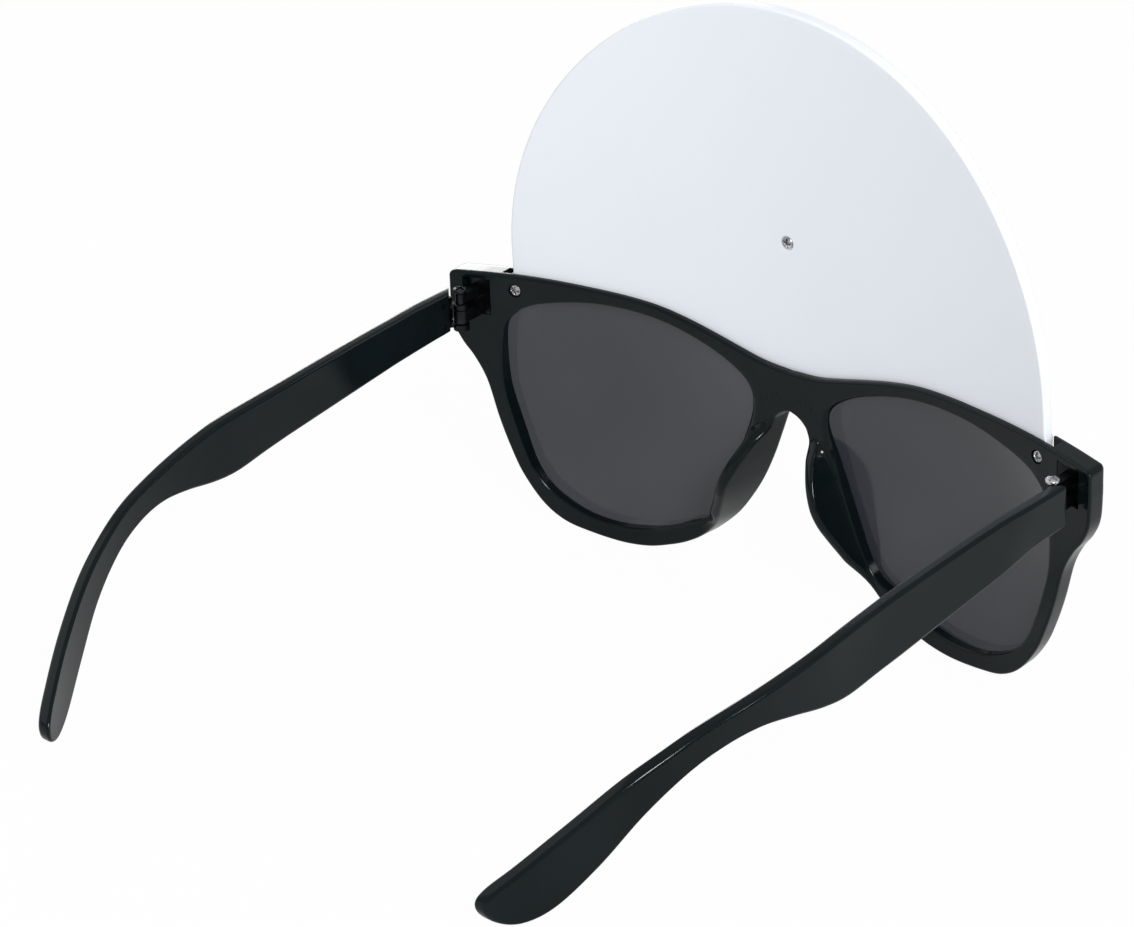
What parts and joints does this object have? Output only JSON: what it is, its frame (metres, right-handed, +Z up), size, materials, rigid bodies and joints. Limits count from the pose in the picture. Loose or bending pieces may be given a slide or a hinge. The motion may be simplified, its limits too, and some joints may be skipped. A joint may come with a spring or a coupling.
{
  "type": "party glasses",
  "caption": "Novelty sunglasses with smoke lenses, a tall white domed plate screwed behind the brow and folding temples on metal barrel hinges.",
  "frame": {"origin": "centre of the glasses' bounding box at ground level, under them as they stand on the rims and the temple tips; the front's own middle plane is X = 0", "axes": "+X to the wearer's right, +Y the way the wearer looks, +Z up"},
  "size_m": [0.148, 0.1453, 0.1183],
  "materials": {
    "black_plastic": "satin moulded black, polished in the nose area",
    "tinted_lens": "smooth smoke grey",
    "white_plastic": "smooth cool white",
    "plated_steel": "small plated hardware"
  },
  "bodies": {
    "front": {"front_frame": "black_plastic", "left_lens": "tinted_lens", "right_lens": "tinted_lens", "dome_plate": "white_plastic", "left_plate_screw": "plated_steel", "right_plate_screw": "plated_steel", "centre_screw": "plated_steel", "centre_button": "white_plastic", "left_frame_hinge": "plated_steel", "right_frame_hinge": "plated_steel", "left_hinge_screw": "plated_steel", "right_hinge_screw": "plated_steel"},
    "left_arm": {"left_temple": "black_plastic", "left_temple_hinge": "plated_steel", "left_upper_rivet": "plated_steel", "left_lower_rivet": "plated_steel"},
    "right_arm": {"right_temple": "black_plastic", "right_temple_hinge": "plated_steel", "right_upper_rivet": "plated_steel", "right_lower_rivet": "plated_steel"}
  },
  "joints": [
    {"name": "left_fold", "type": "hinge", "parent": "front", "child": "left_arm", "pos_m": [-0.06785, 0.05077, 0.04511], "axis": [0, -0.099, 0.9951], "range_deg": [0, 85]},
    {"name": "right_fold", "type": "hinge", "parent": "front", "child": "right_arm", "pos_m": [0.06785, 0.05077, 0.04511], "axis": [0, 0.099, -0.9951], "range_deg": [-6.6, 70]}
  ]
}
